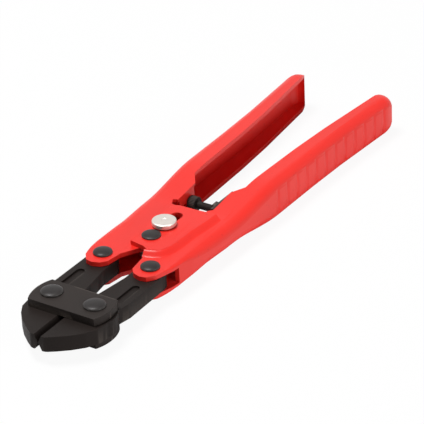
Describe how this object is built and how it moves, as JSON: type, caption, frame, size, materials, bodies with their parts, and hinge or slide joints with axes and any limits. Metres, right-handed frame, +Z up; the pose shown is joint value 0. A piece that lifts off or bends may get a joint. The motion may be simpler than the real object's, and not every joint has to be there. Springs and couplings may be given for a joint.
{
  "type": "bolt cutters",
  "caption": "Compact compound-action bolt cutters with channel handles, forged jaws, link plates, a sliding lock knob and an adjustable stop bolt.",
  "frame": {"origin": "on the centre pivot axis, in the plane that the tool lies on", "axes": "jaws towards -X, grips towards +X, left handle towards +Y, +Z up"},
  "size_m": [0.2084, 0.0474, 0.0171],
  "materials": {
    "red_paint": "satin enamel",
    "forged_jaw": "blackened",
    "black_plate": "blackened",
    "rivet_steel": "dark oxide",
    "plated_steel": "zinc plated",
    "knob_metal": "satin"
  },
  "bodies": {
    "right_handle": {"handle_right": "red_paint", "centre_rivet": "rivet_steel", "centre_bush": "plated_steel", "rear_rivet_right": "rivet_steel", "opening_spring": "plated_steel", "stop_block": "black_plate"},
    "left_handle": {"handle_left": "red_paint", "rear_rivet_left": "rivet_steel"},
    "right_jaw": {"jaw_right": "forged_jaw", "jaw_rivet_right": "rivet_steel"},
    "left_jaw": {"jaw_left": "forged_jaw", "jaw_rivet_left": "rivet_steel"},
    "link_plates": {"link_plate_top": "black_plate", "link_plate_bottom": "black_plate"},
    "lock": {"lock_pin": "plated_steel", "lock_knob": "knob_metal", "lock_wave_washer": "plated_steel", "lock_washer": "plated_steel"},
    "stop_screw": {"stop_bolt": "black_plate"},
    "stop_locknut": {"stop_nut": "plated_steel"}
  },
  "joints": [
    {"name": "handles_open", "type": "hinge", "parent": "right_handle", "child": "left_handle", "pos_m": [0, 0, 0.008], "axis": [0, 0, 1], "range_deg": [0, 28]},
    {"name": "right_jaw_turn", "type": "hinge", "parent": "right_handle", "child": "right_jaw", "pos_m": [-0.0161, -0.0104, 0.008], "axis": [0, 0, 1], "range_deg": [0, 22]},
    {"name": "left_jaw_turn", "type": "hinge", "parent": "left_handle", "child": "left_jaw", "pos_m": [-0.0161, 0.0104, 0.008], "axis": [0, 0, 1], "range_deg": [-22, 0]},
    {"name": "link_plates_turn", "type": "hinge", "parent": "right_jaw", "child": "link_plates", "pos_m": [-0.0487, -0.00925, 0.008], "axis": [0, 0, 1], "range_deg": [-8, 0]},
    {"name": "lock_slide", "type": "slide", "parent": "right_handle", "child": "lock", "axis": [1, 0, 0], "range_m": [0, 0.008]},
    {"name": "stop_bolt_adjust", "type": "slide", "parent": "right_handle", "child": "stop_screw", "axis": [0, 1, 0], "range_m": [-0.002, 0]},
    {"name": "stop_nut_adjust", "type": "slide", "parent": "right_handle", "child": "stop_locknut", "axis": [0, 1, 0], "range_m": [0, 0.0015]}
  ],
  "couplings": [
    {"joint": "right_jaw_turn", "follows": "handles_open", "ratio": 0.7615},
    {"joint": "left_jaw_turn", "follows": "handles_open", "ratio": -0.7615},
    {"joint": "link_plates_turn", "follows": "handles_open", "ratio": -0.2615}
  ]
}
